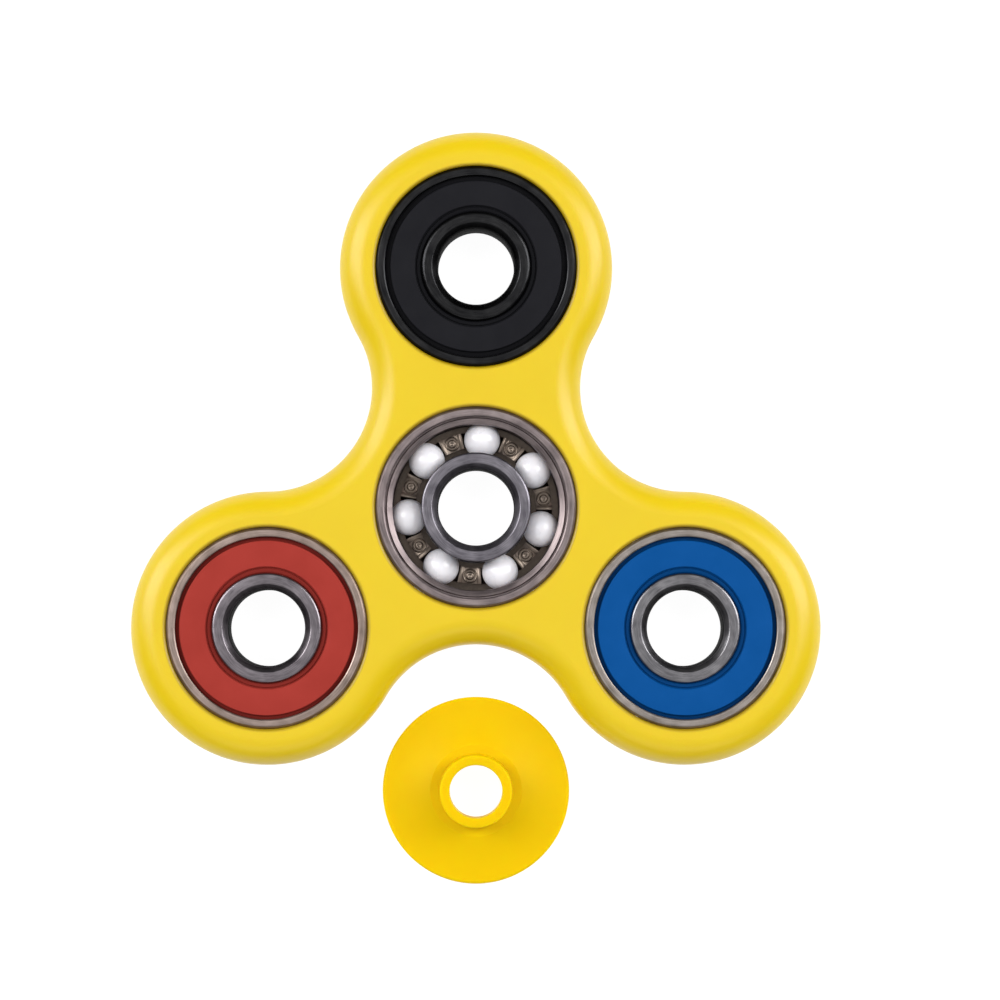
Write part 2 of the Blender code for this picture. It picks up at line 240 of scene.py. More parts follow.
def turn(name, points, steps, closed=True):
    """Draw a section (radius, height) point by point, and spin it round Z."""
    piece = start_point(name, (points[0][0], 0, points[0][1]))
    for before, after in zip(points, points[1:]):
        step = (after[0] - before[0], 0, after[1] - before[1])
        bpy.ops.mesh.extrude_region_move(TRANSFORM_OT_translate={"value": step})
    if closed:
        pick(piece, "VERT", lambda vert: len(vert.link_edges) == 1)
        bpy.ops.mesh.edge_face_add()
    bpy.ops.mesh.select_all(action="SELECT")
    sweep(FULL_TURN, steps)
    close_mesh()
    bpy.ops.object.mode_set(mode="OBJECT")
    return piece


def shade(piece, degrees=35):
    """Smooth shading, with sharp edges where faces meet at more than this angle."""
    activate(piece)
    bpy.ops.object.shade_smooth_by_angle(angle=math.radians(degrees))


def apply_modifier(piece, name, kind, **settings):
    """Add a modifier with its settings and apply it at once."""
    activate(piece)
    modifier = piece.modifiers.new(name, kind)
    for key, value in settings.items():
        setattr(modifier, key, value)
    bpy.ops.object.modifier_apply(modifier=modifier.name)


def copy_piece(piece, name, move=(0, 0, 0), flip=False):
    """A copy with its own mesh, moved, and turned over about the bearing's middle if asked."""
    activate(piece)
    bpy.ops.object.duplicate(linked=False)
    copy = bpy.context.object
    copy.name = copy.data.name = name
    bpy.ops.object.mode_set(mode="EDIT")
    bpy.ops.mesh.select_all(action="SELECT")
    if flip:
        bpy.ops.transform.resize(value=(1, 1, -1), center_override=(0, 0, MID_HEIGHT))
        bpy.ops.mesh.normals_make_consistent(inside=False)
    bpy.ops.transform.translate(value=move)
    bpy.ops.object.mode_set(mode="OBJECT")
    return copy


def delete_piece(piece):
    activate(piece)
    bpy.ops.object.delete()


def finish_piece(piece, material, body, slot, *nodes):
    """Give a piece its material, and let it stand for its solids and ride on their body."""
    piece.data.materials.clear()
    piece.data.materials.append(material)
    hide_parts(*nodes)
    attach(piece, body)


# Materials


def add_node(tree, kind, settings=None, links=None):
    """Add a node, with settings for its attributes or inputs and links into its inputs."""
    node = tree.nodes.new(kind)
    for key, value in (settings or {}).items():
        if isinstance(key, str) and hasattr(node, key):
            setattr(node, key, value)
        else:
            node.inputs[key].default_value = value
    for key, socket in (links or {}).items():
        tree.links.new(socket, node.inputs[key])
    return node


def new_material(name):
    """A node material with only its output and its shader."""
    material = bpy.data.materials.new(name)
    material.use_nodes = True
    tree = material.node_tree
    return material, tree, tree.nodes["Principled BSDF"]


def axis_distance(tree, place, centre):
    """Distance from the upright axis through a point."""
    flat = add_node(tree, "ShaderNodeVectorMath", {"operation": "MULTIPLY", 1: (1, 1, 0)},
                    {0: place})
    away = add_node(tree, "ShaderNodeVectorMath", {"operation": "DISTANCE", 1: (*centre, 0)},
                    {0: flat.outputs["Vector"]})
    return away.outputs["Value"]


def axis_angle(tree, place, centre):
    """Angle about the upright axis through a point."""
    moved = add_node(tree, "ShaderNodeMapping", {"Location": (-centre[0], -centre[1], 0)},
                     {"Vector": place})
    parts = add_node(tree, "ShaderNodeSeparateXYZ", links={"Vector": moved.outputs["Vector"]})
    return add_node(tree, "ShaderNodeMath", {"operation": "ARCTAN2"},
                    {0: parts.outputs["Y"], 1: parts.outputs["X"]}).outputs[0]


def seat_painted_shade(tree, place, seats):
    """Share of painted shade: all of it at a seat's edge, none a little way out."""
    nearest = axis_distance(tree, place, seats[0])
    for seat in seats[1:]:
        nearest = add_node(tree, "ShaderNodeMath", {"operation": "MINIMUM"}, {
            0: nearest, 1: axis_distance(tree, place, seat)}).outputs[0]
    return add_node(tree, "ShaderNodeMapRange", {
        "interpolation_type": "SMOOTHSTEP", "From Min": RING_RADIUS + 0.10 * MM,
        "From Max": RING_RADIUS + 0.50 * MM, "To Min": 1.0, "To Max": 0.0},
        {"Value": nearest}).outputs["Result"]


def moulded_abs(name, yellow, parting_height, specular, roughness, glow, seats=()):
    """Injection-moulded ABS: faintly clouded and translucent, with a mould texture, a parting line
    and painted shade darkening the mouth of each bearing seat."""
    material, tree, shader = new_material(name)
    place = add_node(tree, "ShaderNodeTexCoord").outputs["Object"]
    cloud_size = 9 * MM
    cloud = add_node(tree, "ShaderNodeTexNoise", {"Scale": 1 / cloud_size, "Detail": 3.0},
                     {"Vector": place})
    deeper = (yellow[0] * 0.93, yellow[1] * 0.90, yellow[2] * 0.75, 1)
    clouded = add_node(tree, "ShaderNodeMix", {"data_type": "RGBA", 6: (*yellow, 1), 7: deeper},
                       {0: cloud.outputs["Fac"]})
    colour = clouded.outputs[2]
    # painted shade: the body's colour darkens towards each seat's mouth, where the seat's edge and the
    # gap round the ring lie in shade
    if seats:
        seat_shade_colour = (yellow[0] * 0.48, yellow[1] * 0.43, yellow[2] * 0.5, 1)
        colour = add_node(tree, "ShaderNodeMix", {"data_type": "RGBA", 7: seat_shade_colour},
                          {0: seat_painted_shade(tree, place, seats), 6: colour}).outputs[2]
    tree.links.new(colour, shader.inputs["Base Color"])
    smear_size = 2.5 * MM
    smear = add_node(tree, "ShaderNodeTexNoise", {"Scale": 1 / smear_size, "Detail": 4.0},
                     {"Vector": place})
    rough = add_node(tree, "ShaderNodeMapRange", {
        "To Min": roughness - 0.05, "To Max": roughness + 0.05}, {"Value": smear.outputs["Fac"]})
    tree.links.new(rough.outputs["Result"], shader.inputs["Roughness"])
    grain_size = 0.25 * MM      # mould texture, drawn coarser than the real 0.05 mm so that it shows
    grain = add_node(tree, "ShaderNodeTexNoise", {"Scale": 1 / grain_size, "Detail": 2.0},
                     {"Vector": place})
    texture = add_node(tree, "ShaderNodeBump", {"Strength": 0.25, "Distance": 0.004 * MM},
                       {"Height": grain.outputs["Fac"]})
    height = add_node(tree, "ShaderNodeSeparateXYZ", links={"Vector": place}).outputs["Z"]
    off_line = add_node(tree, "ShaderNodeMath", {"operation": "SUBTRACT", 1: parting_height},
                        {0: height})
    distance = add_node(tree, "ShaderNodeMath", {"operation": "ABSOLUTE"},
                        {0: off_line.outputs[0]})
    ridge = add_node(tree, "ShaderNodeMapRange", {
        "interpolation_type": "SMOOTHSTEP", "From Min": 0.0, "From Max": 0.07 * MM,
        "To Min": 1.0, "To Max": 0.0}, {"Value": distance.outputs[0]})
    parting = add_node(tree, "ShaderNodeBump", {"Strength": 0.6, "Distance": 0.03 * MM},
                       {"Height": ridge.outputs["Result"], "Normal": texture.outputs["Normal"]})
    tree.links.new(parting.outputs["Normal"], shader.inputs["Normal"])
    shader.inputs["IOR"].default_value = 1.53
    shader.inputs["Specular IOR Level"].default_value = specular
    shader.inputs["Subsurface Weight"].default_value = glow
    shader.inputs["Subsurface Radius"].default_value = (1.0, 0.7, 0.15)
    shader.inputs["Subsurface Scale"].default_value = 2.4 * MM * glow
    return material


def ground_steel(name, centre, light, dark, roughness, bore_radius):
    """Ground bearing steel: rings of fine grinding lines, cloudy stains of oil, and a matt bore
    darkened with painted shade.
    """
    material, tree, shader = new_material(name)
    place = add_node(tree, "ShaderNodeTexCoord").outputs["Object"]
    radius = axis_distance(tree, place, centre)
    height = add_node(tree, "ShaderNodeSeparateXYZ", links={"Vector": place}).outputs["Z"]
    line_width = 0.09 * MM      # grinding lines, coarser than the real 0.01 mm so that they show
    across = add_node(tree, "ShaderNodeMath", {"operation": "MULTIPLY", 1: 1 / line_width},
                      {0: radius})
    along = add_node(tree, "ShaderNodeMath", {"operation": "MULTIPLY", 1: 4.0},
                     {0: axis_angle(tree, place, centre)})
    down = add_node(tree, "ShaderNodeMath", {"operation": "MULTIPLY", 1: 1 / line_width},
                    {0: height})
    lay = add_node(tree, "ShaderNodeCombineXYZ", links={
        "X": across.outputs[0], "Y": along.outputs[0], "Z": down.outputs[0]})
    lines = add_node(tree, "ShaderNodeTexNoise", {"Scale": 1.0, "Detail": 3.0},
                     {"Vector": lay.outputs["Vector"]})
    stain_size = 1.6 * MM
    stain = add_node(tree, "ShaderNodeTexNoise", {"Scale": 1 / stain_size, "Detail": 4.0},
                     {"Vector": place})
    tone = add_node(tree, "ShaderNodeMix", {"data_type": "FLOAT", 0: 0.45},
                    {2: lines.outputs["Fac"], 3: stain.outputs["Fac"]})
    spread = add_node(tree, "ShaderNodeMapRange", {"From Min": 0.32, "From Max": 0.68},
                      {"Value": tone.outputs[0]})
    colour = add_node(tree, "ShaderNodeMix", {
        "data_type": "RGBA", 6: (*linear(dark), 1), 7: (*linear(light), 1)},
        {0: spread.outputs["Result"]})
    # painted shade: the bore's wall is drawn near black as well as matt, so that it looks shaded and
    # shows no bright reflection
    bore = add_node(tree, "ShaderNodeMapRange", {
        "From Min": bore_radius + 0.05 * MM, "From Max": bore_radius + 0.15 * MM,
        "To Min": 1.0, "To Max": 0.0}, {"Value": radius})
    bore_painted_shade = add_node(tree, "ShaderNodeMix", {"data_type": "RGBA", 7: (*linear("#272727"), 1)},
                      {0: bore.outputs["Result"], 6: colour.outputs[2]})
    tree.links.new(bore_painted_shade.outputs[2], shader.inputs["Base Color"])
    ground = add_node(tree, "ShaderNodeMapRange", {
        "To Min": roughness - 0.06, "To Max": roughness + 0.10}, {"Value": stain.outputs["Fac"]})
    rough = add_node(tree, "ShaderNodeMix", {"data_type": "FLOAT", 3: 0.95},
                     {0: bore.outputs["Result"], 2: ground.outputs["Result"]})
    tree.links.new(rough.outputs[0], shader.inputs["Roughness"])
    bump = add_node(tree, "ShaderNodeBump", {"Strength": 0.35, "Distance": 0.003 * MM},
                    {"Height": lines.outputs["Fac"]})
    tree.links.new(bump.outputs["Normal"], shader.inputs["Normal"])
    shader.inputs["Metallic"].default_value = 1.0
    return material


def nitrile_rubber(name, centre, colour, lip_radius, face_radius):
    """Moulded nitrile rubber: matt, with a fine grain, and painted shade darkening the recessed lip and
    the rim down in the gap by the outer ring.
    """
    material, tree, shader = new_material(name)
    place = add_node(tree, "ShaderNodeTexCoord").outputs["Object"]
    radius = axis_distance(tree, place, centre)
    lip = add_node(tree, "ShaderNodeMapRange", {
        "interpolation_type": "SMOOTHSTEP", "From Min": lip_radius - 0.05 * MM,
        "From Max": lip_radius + 0.05 * MM, "To Min": 1.0, "To Max": 0.0}, {"Value": radius})
    cloud_size = 3.5 * MM
    cloud = add_node(tree, "ShaderNodeTexNoise", {"Scale": 1 / cloud_size, "Detail": 4.0},
                     {"Vector": place})
    paler = tuple(min(1.0, c * 1.12 + 0.004) for c in colour)
    deeper = tuple(c * 0.88 for c in colour)
    face = add_node(tree, "ShaderNodeMix", {
        "data_type": "RGBA", 6: (*deeper, 1), 7: (*paler, 1)}, {0: cloud.outputs["Fac"]})
    # painted shade: the recessed lip is drawn darker than the face
    lip_painted_shade = (*(c * 0.6 for c in colour), 1)
    whole = add_node(tree, "ShaderNodeMix", {"data_type": "RGBA", 7: lip_painted_shade},
                     {0: lip.outputs["Result"], 6: face.outputs[2]})
    # painted shade: past the face's edge, down in the gap by the outer ring, the rubber is drawn darker
    rim_painted_shade = (*(c * 0.45 for c in colour), 1)
    rim = add_node(tree, "ShaderNodeMapRange", {
        "interpolation_type": "SMOOTHSTEP", "From Min": face_radius,
        "From Max": face_radius + 0.10 * MM}, {"Value": radius})
    rimmed = add_node(tree, "ShaderNodeMix", {"data_type": "RGBA", 7: rim_painted_shade},
                      {0: rim.outputs["Result"], 6: whole.outputs[2]})
    tree.links.new(rimmed.outputs[2], shader.inputs["Base Color"])
    ring_width = 0.35 * MM
    across = add_node(tree, "ShaderNodeMath", {"operation": "MULTIPLY", 1: 1 / ring_width},
                      {0: radius})
    rings = add_node(tree, "ShaderNodeTexNoise", {"noise_dimensions": "1D", "Scale": 1.0},
                     {"W": across.outputs[0]})
    grain_size = 0.12 * MM
    grain = add_node(tree, "ShaderNodeTexNoise", {"Scale": 1 / grain_size, "Detail": 2.0},
                     {"Vector": place})
    moulding = add_node(tree, "ShaderNodeBump", {"Strength": 0.3, "Distance": 0.01 * MM},
                        {"Height": rings.outputs["Fac"]})
    skin = add_node(tree, "ShaderNodeBump", {"Strength": 0.4, "Distance": 0.006 * MM},
                    {"Height": grain.outputs["Fac"], "Normal": moulding.outputs["Normal"]})
    tree.links.new(skin.outputs["Normal"], shader.inputs["Normal"])
    rough = add_node(tree, "ShaderNodeMapRange", {"To Min": 0.42, "To Max": 0.58},
                     {"Value": cloud.outputs["Fac"]})
    tree.links.new(rough.outputs["Result"], shader.inputs["Roughness"])
    shader.inputs["Specular IOR Level"].default_value = 0.05
    return material


def zirconia_ceramic(name):
    """Polished zirconia: dense white ceramic, glossy, with a faint milky depth."""
    material, tree, shader = new_material(name)
    place = add_node(tree, "ShaderNodeTexCoord").outputs["Object"]
    cloud_size = 1.5 * MM
    cloud = add_node(tree, "ShaderNodeTexNoise", {"Scale": 1 / cloud_size, "Detail": 3.0},
                     {"Vector": place})
    colour = add_node(tree, "ShaderNodeMix", {
        "data_type": "RGBA", 6: (*linear("#EEECF1"), 1), 7: (*linear("#F6F4F8"), 1)},
        {0: cloud.outputs["Fac"]})
    tree.links.new(colour.outputs[2], shader.inputs["Base Color"])
    rough = add_node(tree, "ShaderNodeMapRange", {"To Min": 0.24, "To Max": 0.32},
                     {"Value": cloud.outputs["Fac"]})
    tree.links.new(rough.outputs["Result"], shader.inputs["Roughness"])
    shader.inputs["IOR"].default_value = 1.7
    shader.inputs["Subsurface Weight"].default_value = 0.5
    shader.inputs["Subsurface Radius"].default_value = (1.0, 0.95, 0.9)
    shader.inputs["Subsurface Scale"].default_value = 0.8 * MM
    return material


def pressed_steel(name):
    """Cold-rolled steel strip after pressing: brownish from oil, with rolling marks and dull spots."""
    material, tree, shader = new_material(name)
    place = add_node(tree, "ShaderNodeTexCoord").outputs["Object"]
    spot_size = 0.5 * MM
    spot = add_node(tree, "ShaderNodeTexNoise", {"Scale": 1 / spot_size, "Detail": 4.0},
                    {"Vector": place})
    colour = add_node(tree, "ShaderNodeMix", {
        "data_type": "RGBA", 6: (*linear("#5E544C"), 1), 7: (*linear("#978A7E"), 1)},
        {0: spot.outputs["Fac"]})
    tree.links.new(colour.outputs[2], shader.inputs["Base Color"])
    rough = add_node(tree, "ShaderNodeMapRange", {"To Min": 0.25, "To Max": 0.5},
                     {"Value": spot.outputs["Fac"]})
    tree.links.new(rough.outputs["Result"], shader.inputs["Roughness"])
    grain_size = 0.1 * MM
    grain = add_node(tree, "ShaderNodeTexNoise", {"Scale": 1 / grain_size, "Detail": 2.0},
                     {"Vector": place})
    bump = add_node(tree, "ShaderNodeBump", {"Strength": 0.4, "Distance": 0.004 * MM},
                    {"Height": grain.outputs["Fac"]})
    tree.links.new(bump.outputs["Normal"], shader.inputs["Normal"])
    shader.inputs["Metallic"].default_value = 1.0
    return material


def polished_ball_steel(name):
    """Lapped chrome steel: mirror-like, with a trace of oil."""
    material, tree, shader = new_material(name)
    place = add_node(tree, "ShaderNodeTexCoord").outputs["Object"]
    film_size = 1.2 * MM
    film = add_node(tree, "ShaderNodeTexNoise", {"Scale": 1 / film_size, "Detail": 3.0},
                    {"Vector": place})
    colour = add_node(tree, "ShaderNodeMix", {
        "data_type": "RGBA", 6: (*linear("#B9B9BC"), 1), 7: (*linear("#C9C9CC"), 1)},
        {0: film.outputs["Fac"]})
    tree.links.new(colour.outputs[2], shader.inputs["Base Color"])
    rough = add_node(tree, "ShaderNodeMapRange", {"To Min": 0.06, "To Max": 0.16},
                     {"Value": film.outputs["Fac"]})
    tree.links.new(rough.outputs["Result"], shader.inputs["Roughness"])
    shader.inputs["Metallic"].default_value = 1.0
    return material


def lit_white_sheet(name):
    """Opal sheet of a light table: matt, evenly lit from beneath, with a barely visible cloud."""
    material, tree, shader = new_material(name)
    place = add_node(tree, "ShaderNodeTexCoord").outputs["Object"]
    cloud_size = 20 * MM
    cloud = add_node(tree, "ShaderNodeTexNoise", {"Scale": 1 / cloud_size, "Detail": 3.0},
                     {"Vector": place})
    colour = add_node(tree, "ShaderNodeMix", {
        "data_type": "RGBA", 6: (*linear("#696969"), 1), 7: (*linear("#6F6F6F"), 1)},
        {0: cloud.outputs["Fac"]})
    tree.links.new(colour.outputs[2], shader.inputs["Base Color"])
    shader.inputs["Roughness"].default_value = 0.9
    shader.inputs["Emission Color"].default_value = (1, 1, 1, 1)
    shader.inputs["Emission Strength"].default_value = 0.95
    return material


# Moulded body


def draw_outline():
    """Body outline on the table: each lobe's arc, then the hollow's arc after it."""
    lobe_turn, lobe_steps = 240, 96
    hollow_turn, hollow_steps = -120, 40
    start = math.radians(LOBE_ANGLES[0] - lobe_turn / 2)
    piece = start_point("body_moulding", (LOBE_RADIUS * math.cos(start),
                                          ARM + LOBE_RADIUS * math.sin(start), 0))
    for lobe_angle in LOBE_ANGLES:
        for angle, turned, steps in ((lobe_angle, lobe_turn, lobe_steps),
                                     (lobe_angle + 60, hollow_turn, hollow_steps)):
            centre = (ARM * math.cos(math.radians(angle)), ARM * math.sin(math.radians(angle)), 0)
            sweep(turned, steps, centre)
    bpy.ops.mesh.select_all(action="SELECT")
    bpy.ops.mesh.remove_doubles(threshold=MERGE_DISTANCE)
    bpy.ops.mesh.edge_face_add()
    return piece


def is_flat_edge(edge):
    """True for an edge that lies in the front or the back face."""
    heights = [vert.co.z for vert in edge.verts]
    level = abs(heights[0] - heights[1]) < MERGE_DISTANCE
    return level and min(abs(heights[0]), abs(heights[0] - THICKNESS)) < MERGE_DISTANCE


def is_seat_edge(edge, seat_radius):
    """True for an edge of a bearing seat's mouth."""
    if not is_flat_edge(edge):
        return False
    for x, y in PLACES.values():
        reach = [math.hypot(vert.co.x - x, vert.co.y - y) for vert in edge.verts]
        if all(abs(radius - seat_radius) < NEAR for radius in reach):
            return True
    return False


def cut_seats(piece, seat_radius, steps):
    """Cut the four bearing seats right through."""
    for name, (x, y) in PLACES.items():
        clear_selection()
        bpy.ops.mesh.primitive_cylinder_add(vertices=steps, radius=seat_radius,
                                            depth=2 * THICKNESS, location=(x, y, MID_HEIGHT))
        cutter = bpy.context.object
        apply_modifier(piece, "seat_" + name, "BOOLEAN", operation="DIFFERENCE", solver="EXACT",
                       object=cutter)
        delete_piece(cutter)


def mould_body():
    """Raise the outline, round its edges, cut the seats and round their mouths."""
    sizes = bpy.context.scene.spinner_body
    piece = draw_outline()
    bpy.ops.mesh.extrude_region_move(TRANSFORM_OT_translate={"value": (0, 0, THICKNESS)})
    close_mesh()
    pick(piece, "EDGE", is_flat_edge)
    bpy.ops.mesh.bevel(offset=sizes.edge_radius, segments=sizes.edge_steps, profile=0.5,
                       affect="EDGES")
    bpy.ops.object.mode_set(mode="OBJECT")
    seat_radius = RING_RADIUS + sizes.seat_gap
    cut_seats(piece, seat_radius, bpy.context.scene.spinner_bearings.steps)
    activate(piece)
    bpy.ops.object.mode_set(mode="EDIT")
    pick(piece, "EDGE", lambda edge: is_seat_edge(edge, seat_radius))
    bpy.ops.mesh.bevel(offset=sizes.seat_edge, segments=3, profile=0.5, affect="EDGES")
    bpy.ops.object.mode_set(mode="OBJECT")
    shade(piece)
    apply_modifier(piece, "flat_faces", "WEIGHTED_NORMAL", mode="FACE_AREA", weight=100,
                   keep_sharp=True)
    return piece


class SPINNER_OT_body(Operator):
    """Mould the three-lobed body with its four bearing seats"""
    bl_idname = "spinner.body"
    bl_label = "Moulded body"

    def execute(self, context):
        piece = mould_body()
        yellow = tuple(context.scene.spinner_colours.abs_yellow)
        plastic = moulded_abs("moulded yellow ABS", yellow, MID_HEIGHT, specular=0.45,
                              roughness=0.35, glow=0.35, seats=list(PLACES.values()))
        finish_piece(piece, plastic, "spinner", "yellow_abs", "spinner_body")
        return {"FINISHED"}


# Finger cap


CAP_DISH = 0.7 * MM     # depth of the dish on the finger side, and height of the parting line


def cap_section():
    """Half section of the cap, boss upwards, from the finger side round to the hole."""
    rim = 1.25 * MM
    shoulder, shoulder_radius = 2.35 * MM, 5.05 * MM
    hole = 2.9 * MM
    flare_steps = 12
    flare = []
    for step in range(2, flare_steps):
        share = step / flare_steps
        flare.append((CAP_RADIUS + (shoulder_radius - CAP_RADIUS) * share,
                      rim + (shoulder - rim) * share ** 1.8, 0))
    return rounded([
        (hole, CAP_DISH, 0.25 * MM), (8.7 * MM, 0, 0.8 * MM),
        (CAP_RADIUS, 0, 0.45 * MM), (CAP_RADIUS, rim, 0.3 * MM), *flare,
        (shoulder_radius, shoulder, 0.1 * MM), (4.02 * MM, shoulder, 0.08 * MM),
        (3.96 * MM, CAP_TOP, 0.16 * MM), (hole, CAP_TOP, 0.12 * MM),
    ], degrees_per_step=12)


class SPINNER_OT_cap(Operator):
    """Turn the loose finger cap, lying beside the body with its boss upwards"""
    bl_idname = "spinner.cap"
    bl_label = "Finger cap"

    def execute(self, context):
        pattern = turn("cap_pattern", cap_section(), context.scene.spinner_bearings.steps)
        piece = copy_piece(pattern, "cap_moulding", (*CAP_PLACE, 0))
        delete_piece(pattern)
        shade(piece)
        yellow = tuple(context.scene.spinner_colours.cap_yellow)
        plastic = moulded_abs("moulded yellow cap ABS", yellow, CAP_DISH, specular=0.06,
                              roughness=0.46, glow=0.6)
        finish_piece(piece, plastic, "cap", "yellow_abs", "finger_cap")
        return {"FINISHED"}


# Bearing rings


def track(land_radius, side, pitch_radius, race_radius, steps=14):
    """A ball track's arc from its upper edge to its lower edge; side is 1 outwards, -1 inwards."""
    edge = math.acos(abs(land_radius - pitch_radius) / race_radius)
    points = []
    for step in range(steps + 1):
        angle = edge - 2 * edge * step / steps
        points.append((pitch_radius + side * race_radius * math.cos(angle),
                       MID_HEIGHT + race_radius * math.sin(angle)))
    return points


def mirror_down(points):
    """The same points below the middle height, in reverse order."""
    return [(x, 2 * MID_HEIGHT - y) for x, y in reversed(points)]


def open_rounded(corners):
    """Rounded points of an open run of corners, whose ends stay sharp."""
    ends = [(*corners[0][:2], 0)] + list(corners[1:-1]) + [(*corners[-1][:2], 0)]
    return rounded(ends)


def outer_ring_section(sizes):
    """Outer ring: chamfered outside, an undercut groove for a seal, a sloped land and the track."""
    top = THICKNESS
    chamfer = 0.28 * MM
    half = open_rounded([
        (RING_RADIUS, MID_HEIGHT, 0), (RING_RADIUS, top - chamfer, 0.04 * MM),
        (RING_RADIUS - chamfer, top, 0.03 * MM), (10.11 * MM, top, 0.04 * MM),
        (10.00 * MM, top - 0.07 * MM, 0.03 * MM), (9.97 * MM, top - 0.40 * MM, 0.04 * MM),
        (10.13 * MM, top - 0.60 * MM, 0.05 * MM), (10.13 * MM, top - 0.88 * MM, 0.05 * MM),
        (10.00 * MM, top - 1.20 * MM, 0.04 * MM), (9.83 * MM, top - 1.20 * MM, 0.04 * MM),
        (9.76 * MM, top - 0.84 * MM, 0.04 * MM),
        (sizes.outer_land + 0.07 * MM, top - 1.13 * MM, 0.05 * MM),
        (sizes.outer_land, top - 1.25 * MM, 0),
    ])
    race = track(sizes.outer_land, 1, sizes.pitch_radius, sizes.race_radius)
    return half + race + mirror_down(half)[:-1]


def inner_ring_section(sizes, outside_rounding):
    """Inner ring: a deep chamfer at the bore, ground faces, a land and the ball track."""
    top = THICKNESS
    half = open_rounded([
        (sizes.bore_radius, MID_HEIGHT, 0), (sizes.bore_radius, top - 0.7 * MM, 0.4 * MM),
        (sizes.bore_radius + 0.66 * MM, top, 0.14 * MM), (sizes.inner_land, top, outside_rounding),
        (sizes.inner_land, top - 1.2 * MM, 0),
    ])
    race = track(sizes.inner_land, -1, sizes.pitch_radius, sizes.race_radius)
    return half + race + mirror_down(half)[:-1]


RING_STEELS = {     # light and dark hex colours of each bearing's rings, and their roughness
    "centre_outer": ("#A09392", "#695F60", 0.40), "centre_inner": ("#918D94", "#5E5B62", 0.34),
    "black_outer": ("#39393A", "#202022", 0.28), "black_inner": ("#39393A", "#202022", 0.28),
    "red_outer": ("#B3A097", "#7C6D65", 0.38), "red_inner": ("#968F94", "#605A5F", 0.30),
    "blue_outer": ("#ADA49E", "#787069", 0.38), "blue_inner": ("#959396", "#5F5E62", 0.30),
}


class SPINNER_OT_rings(Operator):
    """Turn the outer and inner rings of the four bearings"""
    bl_idname = "spinner.rings"
    bl_label = "Bearing rings"

    def execute(self, context):
        sizes = context.scene.spinner_bearings
        for name in BEARINGS:
            rounding = 0.4 * MM if name == "black" else 0.26 * MM
            sections = {"outer": outer_ring_section(sizes),
                        "inner": inner_ring_section(sizes, rounding)}
            for kind, body in (("outer", "spinner"), ("inner", name + "_hub")):
                pattern = turn("ring_pattern", sections[kind], sizes.steps)
                piece = copy_piece(pattern, f"{name}_{kind}_race", (*PLACES[name], 0))
                delete_piece(pattern)
                shade(piece)
                steel = ground_steel(f"{name} {kind} ring steel", PLACES[name],
                                     *RING_STEELS[f"{name}_{kind}"], sizes.bore_radius)
                slot = "black_oxide_steel" if name == "black" else "bearing_steel"
                finish_piece(piece, steel, body, slot, f"{name}_{kind}_ring")
        return {"FINISHED"}


# Seals


LIP_GROOVE = 6.62 * MM      # outer edge of the groove between a seal's lip and its face


def seal_section(sizes, face_radius):
    """Front seal: a bead in the ring's groove, a flat face, a fine groove and a recessed lip."""
    top = THICKNESS - 0.22 * MM
    lip = sizes.inner_land + sizes.lip_gap
    return rounded([
        (lip, top - 0.55 * MM, 0.05 * MM), (lip, top - 0.36 * MM, 0.05 * MM),
        (6.14 * MM, top - 0.24 * MM, 0.05 * MM),
        (6.46 * MM, top - 0.20 * MM, 0.05 * MM), (6.52 * MM, top - 0.34 * MM, 0.02 * MM),
        (6.60 * MM, top - 0.34 * MM, 0.02 * MM), (6.72 * MM, top, 0.08 * MM),
        (face_radius, top, 0.10 * MM), (face_radius + 0.08 * MM, top - 0.40 * MM, 0.05 * MM),
        (9.80 * MM, top - 0.42 * MM, 0.04 * MM), (9.98 * MM, top - 0.45 * MM, 0.04 * MM),
        (9.98 * MM, top - 0.58 * MM, 0.03 * MM), (9.72 * MM, top - 0.60 * MM, 0.03 * MM),
        (6.5 * MM, top - 0.60 * MM, 0.05 * MM),
    ])


class SPINNER_OT_seals(Operator):
    """Mould the rubber seals on both sides of each closed bearing"""
    bl_idname = "spinner.seals"
    bl_label = "Rubber seals"

    def execute(self, context):
        sizes = context.scene.spinner_bearings
        colours = context.scene.spinner_colours
        face_radii = {"black": 9.36 * MM, "red": 9.52 * MM, "blue": 9.52 * MM}
        for name in CLOSED_BEARINGS:
            pattern = turn("seal_pattern", seal_section(sizes, face_radii[name]), sizes.steps)
            colour = tuple(getattr(colours, name + "_seal"))
            rubber = nitrile_rubber(name + " nitrile rubber", PLACES[name], colour, LIP_GROOVE,
                                    face_radii[name])
            for side, flip in (("front", False), ("rear", True)):
                piece = copy_piece(pattern, f"{name}_{side}_seal_rubber", (*PLACES[name], 0), flip)
                shade(piece)
                finish_piece(piece, rubber, "spinner", name + "_seal_rubber", f"{name}_seal_{side}")
            delete_piece(pattern)
        return {"FINISHED"}


# Open bearing's cage, rivets and balls


def cage_stations(half_pitch):
    """Middle line of one pitch of the strip: (distance round, height), from one pad's end to the
    next."""
    bend = 2.25 * MM
    pad_end = half_pitch - bend
    pad = MID_HEIGHT + 0.10 * MM
    lip = 0.22 * MM
    stations = [(-pad_end, pad + lip), (-pad_end + 0.12 * MM, pad + lip * 0.9),
                (-pad_end + 0.26 * MM, pad + lip * 0.25), (-pad_end + 0.38 * MM, pad)]
    stations += [(-distance, height) for distance, height in reversed(stations)]
    bend_steps = 18
    for step in range(1, bend_steps):
        angle = math.pi * step / bend_steps
        stations.append((half_pitch - bend * math.cos(angle),
                         MID_HEIGHT - bend * math.sin(angle)))
    stations.append((2 * half_pitch - pad_end, pad + lip))
    return stations


